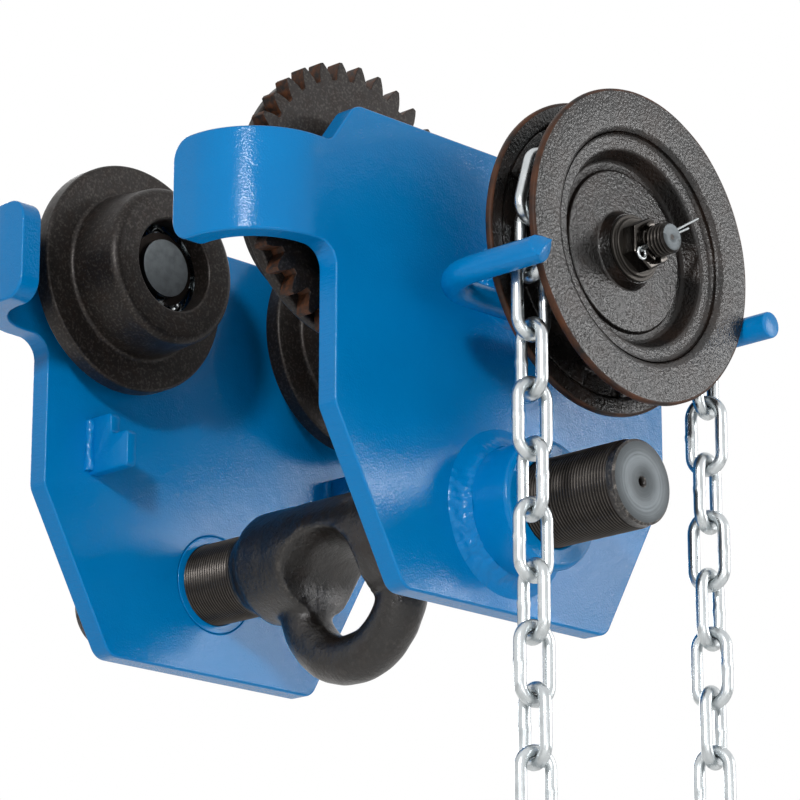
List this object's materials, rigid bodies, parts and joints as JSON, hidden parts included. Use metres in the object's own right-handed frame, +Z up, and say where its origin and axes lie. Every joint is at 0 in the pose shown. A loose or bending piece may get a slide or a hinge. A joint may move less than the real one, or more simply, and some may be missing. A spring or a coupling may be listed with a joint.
{
  "type": "geared beam trolley",
  "caption": "Geared push-travel trolley for an I-beam flange: blue side plates with flanged wheels, a hand chain wheel driving a pinion, and a threaded load bar with a lifting eye.",
  "frame": {"origin": "on the running surface of the beam's lower flange, on the beam's centre line, midway between the wheels", "axes": "+X along the beam, -Y towards the hand chain side, +Z up"},
  "size_m": [0.2874, 0.3381, 0.3856],
  "materials": {
    "blue_enamel": "glossy enamel with fine orange peel",
    "black_forging": "oiled black forging scale",
    "black_cast_iron": "thick black paint over rough casting",
    "oiled_gear_steel": "cut teeth, dark and oiled",
    "cast_wheel": "turned casting",
    "turned_steel": "turned",
    "bearing_steel": "ground and polished",
    "spring_steel": "blackened",
    "bush_bronze": "machined bronze",
    "black_fastener": "black oxide",
    "zinc_plate": "bright zinc plate"
  },
  "bodies": {
    "drive_side": {"drive_side_plate": "blue_enamel", "drive_nut_weld": "blue_enamel", "shaft_housing": "blue_enamel", "housing_weld": "blue_enamel", "shaft_inner_bush": "bush_bronze", "shaft_outer_bush": "bush_bronze", "chain_guide": "blue_enamel", "guide_weld": "blue_enamel", "hand_chain": "zinc_plate", "drive_left_anti_tilt_lug": "blue_enamel", "drive_left_axle": "turned_steel", "drive_left_axle_circlip": "spring_steel", "drive_left_bearing_inner_ring": "bearing_steel", "drive_right_anti_tilt_lug": "blue_enamel", "drive_right_axle": "turned_steel", "drive_right_axle_circlip": "spring_steel", "drive_right_bearing_inner_ring": "bearing_steel"},
    "bar_nut": {"drive_round_nut": "blue_enamel"},
    "load_bar": {"load_bar": "black_forging"},
    "rear_side": {"rear_side_plate": "blue_enamel", "rear_round_nut": "blue_enamel", "rear_nut_weld": "blue_enamel", "rear_left_anti_tilt_lug": "blue_enamel", "rear_left_axle": "turned_steel", "rear_left_axle_circlip": "spring_steel", "rear_left_bearing_inner_ring": "bearing_steel", "rear_right_anti_tilt_lug": "blue_enamel", "rear_right_axle": "turned_steel", "rear_right_axle_circlip": "spring_steel", "rear_right_bearing_inner_ring": "bearing_steel"},
    "hand_wheel": {"pinion_shaft": "oiled_gear_steel", "shaft_key": "turned_steel", "hand_chain_wheel": "black_cast_iron", "hub_washer": "black_fastener", "castle_nut": "black_fastener", "split_pin": "zinc_plate"},
    "drive_left_wheel": {"drive_left_geared_wheel": "oiled_gear_steel", "drive_left_bearing_outer_ring": "bearing_steel", "drive_left_bearing_balls": "bearing_steel", "drive_left_wheel_circlip": "spring_steel"},
    "drive_right_wheel": {"drive_right_geared_wheel": "oiled_gear_steel", "drive_right_bearing_outer_ring": "bearing_steel", "drive_right_bearing_balls": "bearing_steel", "drive_right_wheel_circlip": "spring_steel"},
    "rear_left_wheel": {"rear_left_wheel": "cast_wheel", "rear_left_bearing_outer_ring": "bearing_steel", "rear_left_bearing_balls": "bearing_steel", "rear_left_wheel_circlip": "spring_steel"},
    "rear_right_wheel": {"rear_right_wheel": "cast_wheel", "rear_right_bearing_outer_ring": "bearing_steel", "rear_right_bearing_balls": "bearing_steel", "rear_right_wheel_circlip": "spring_steel"}
  },
  "joints": [
    {"name": "bar_turn", "type": "hinge", "parent": "drive_side", "child": "bar_nut", "pos_m": [0, 0, -0.0845], "axis": [0, 1, 0], "range_deg": [-5040, 9360]},
    {"name": "bar_feed", "type": "slide", "parent": "bar_nut", "child": "load_bar", "axis": [0, 1, 0], "range_m": [-0.0212, 0.0392]},
    {"name": "rear_side_feed", "type": "slide", "parent": "drive_side", "child": "rear_side", "axis": [0, 1, 0], "range_m": [-0.0424, 0.0784]},
    {"name": "hand_wheel_spin", "type": "hinge", "parent": "drive_side", "child": "hand_wheel", "pos_m": [0, -0.1537, 0.01243], "axis": [0, 1, 0], "continuous": true},
    {"name": "drive_left_wheel_spin", "type": "hinge", "parent": "drive_side", "child": "drive_left_wheel", "pos_m": [-0.0674, -0.0495, 0.036], "axis": [0, 1, 0], "continuous": true},
    {"name": "drive_right_wheel_spin", "type": "hinge", "parent": "drive_side", "child": "drive_right_wheel", "pos_m": [0.0674, -0.0495, 0.036], "axis": [0, 1, 0], "continuous": true},
    {"name": "rear_left_wheel_spin", "type": "hinge", "parent": "rear_side", "child": "rear_left_wheel", "pos_m": [-0.0674, 0.0495, 0.036], "axis": [0, 1, 0], "continuous": true},
    {"name": "rear_right_wheel_spin", "type": "hinge", "parent": "rear_side", "child": "rear_right_wheel", "pos_m": [0.0674, 0.0495, 0.036], "axis": [0, 1, 0], "continuous": true}
  ],
  "couplings": [
    {"joint": "bar_feed", "follows": "bar_turn", "m_per_rad": 0.00023873},
    {"joint": "rear_side_feed", "follows": "bar_turn", "m_per_rad": 0.00047746},
    {"joint": "drive_left_wheel_spin", "follows": "hand_wheel_spin", "ratio": -0.27273},
    {"joint": "drive_right_wheel_spin", "follows": "hand_wheel_spin", "ratio": -0.27273}
  ]
}
